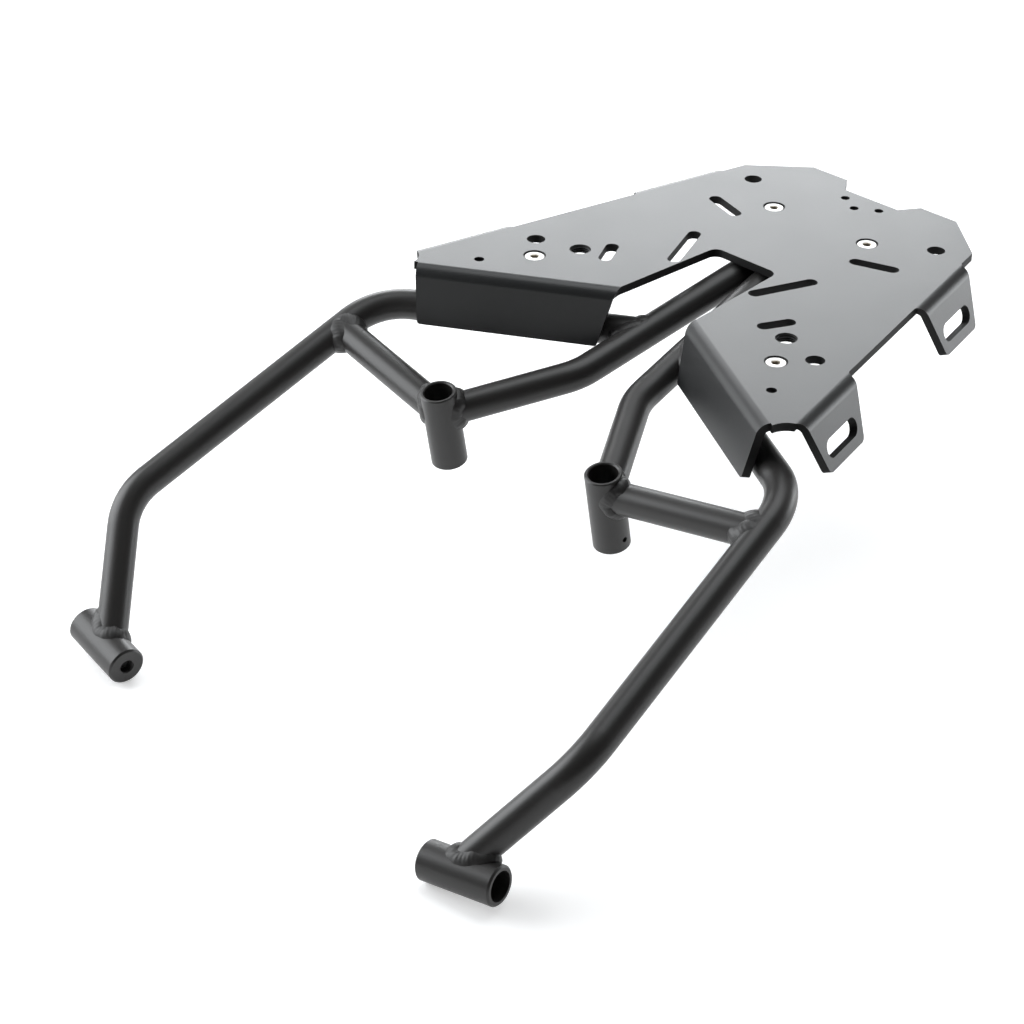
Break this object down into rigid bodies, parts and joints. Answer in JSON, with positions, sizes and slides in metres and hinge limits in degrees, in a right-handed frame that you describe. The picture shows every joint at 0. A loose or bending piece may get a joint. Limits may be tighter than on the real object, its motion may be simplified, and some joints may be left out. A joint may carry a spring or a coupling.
{
  "type": "top case rack",
  "caption": "Motorbike rear rack: a folded, slotted top plate screwed to a welded frame of bent round tubes with foot bosses and socket sleeves.",
  "frame": {"origin": "on the plate's top face, in the rack's mirror plane, 7.1 mm in front of the rear screws' line", "axes": "+Z out of the plate's top face, +Y to the rear of the motorbike, +X to its right; the mirror plane is X = 0"},
  "size_m": [0.3684, 0.5225, 0.1741],
  "materials": {
    "plate_coat": "fine textured satin black powder coat",
    "frame_coat": "satin black powder coat",
    "screw_steel": "plain stainless steel"
  },
  "bodies": {
    "root": {"top_plate": "plate_coat", "outer_tube_right": "frame_coat", "outer_tube_left": "frame_coat", "inner_tube_right": "frame_coat", "inner_tube_left": "frame_coat", "cross_tube_right": "frame_coat", "cross_tube_left": "frame_coat", "foot_boss_right": "frame_coat", "foot_boss_left": "frame_coat", "socket_sleeve_right": "frame_coat", "socket_sleeve_left": "frame_coat", "front_lug_right": "frame_coat", "front_lug_left": "frame_coat", "rear_bush_right": "frame_coat", "rear_bush_left": "frame_coat", "front_bush_right": "frame_coat", "front_bush_left": "frame_coat", "plate_screw_rear_right": "screw_steel", "plate_screw_rear_left": "screw_steel", "plate_screw_front_right": "screw_steel", "plate_screw_front_left": "screw_steel", "rear_strap": "frame_coat"}
  },
  "joints": []
}
